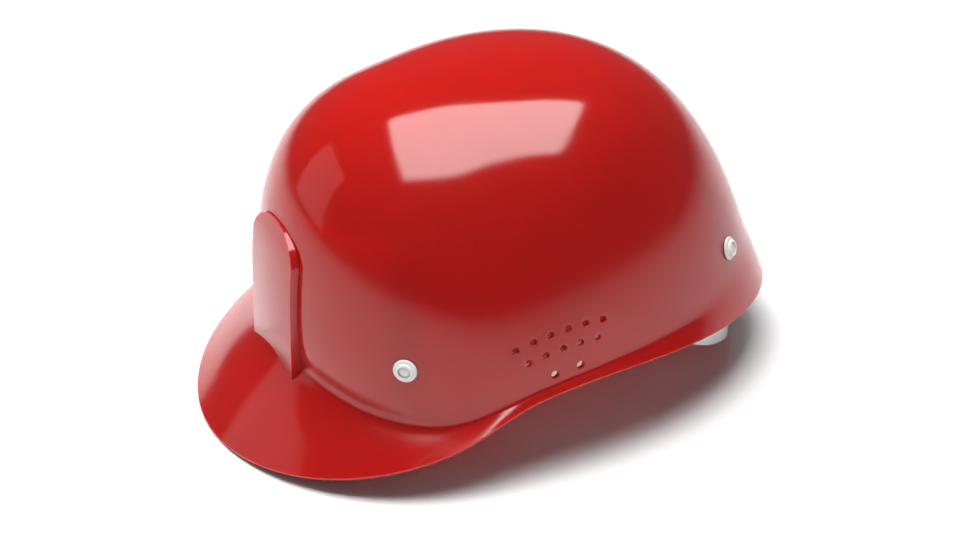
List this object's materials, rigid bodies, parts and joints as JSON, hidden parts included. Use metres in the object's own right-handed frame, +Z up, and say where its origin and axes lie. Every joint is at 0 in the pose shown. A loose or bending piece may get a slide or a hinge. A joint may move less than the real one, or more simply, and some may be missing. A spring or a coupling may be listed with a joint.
{
  "type": "bump cap",
  "caption": "Baseball-style bump cap: moulded shell with visor, badge pad and side vents, riveted strap cradle, headband and sliding nape strap with spring locks.",
  "frame": {"origin": "on the ground under the middle of the cap's bounding box, with the cap resting on the visor's front edge and the nape strap", "axes": "+Z up; -Y the way the visor points; +X the wearer's left"},
  "size_m": [0.2115, 0.3072, 0.1792],
  "materials": {
    "red_shell": "glossy moulded polyethylene",
    "natural_ldpe": "satin natural white polyethylene",
    "white_nylon": "satin moulded nylon",
    "brow_fabric": "knitted terry over foam",
    "spring_steel": "bright drawn wire"
  },
  "bodies": {
    "cap": {"shell": "red_shell", "rivet_front_left": "white_nylon", "rivet_pin_front_left": "white_nylon", "hanger_front_left": "white_nylon", "rivet_front_right": "white_nylon", "rivet_pin_front_right": "white_nylon", "hanger_front_right": "white_nylon", "rivet_rear_left": "white_nylon", "rivet_pin_rear_left": "white_nylon", "hanger_rear_left": "white_nylon", "rivet_rear_right": "white_nylon", "rivet_pin_rear_right": "white_nylon", "hanger_rear_right": "white_nylon", "crown_strap_upper": "natural_ldpe", "crown_strap_lower": "natural_ldpe", "headband": "natural_ldpe", "brow_pad": "brow_fabric", "lock_spring_left": "spring_steel", "lock_spring_right": "spring_steel"},
    "nape": {"nape_strap": "natural_ldpe"},
    "lock_left": {"lock_pin_left": "white_nylon"},
    "lock_right": {"lock_pin_right": "white_nylon"}
  },
  "joints": [
    {"name": "nape_slide", "type": "slide", "parent": "cap", "child": "nape", "axis": [0, -0.9848, -0.1736], "range_m": [0, 0.024]},
    {"name": "lock_left_pull", "type": "slide", "parent": "cap", "child": "lock_left", "axis": [1, 0, 0], "range_m": [0, 0.0016], "stiffness_N_per_m": 900, "springref_m": -0.001, "deforming": ["lock_spring_left"]},
    {"name": "lock_right_pull", "type": "slide", "parent": "cap", "child": "lock_right", "axis": [-1, 0, 0], "range_m": [0, 0.0016], "stiffness_N_per_m": 900, "springref_m": -0.001, "deforming": ["lock_spring_right"]}
  ]
}
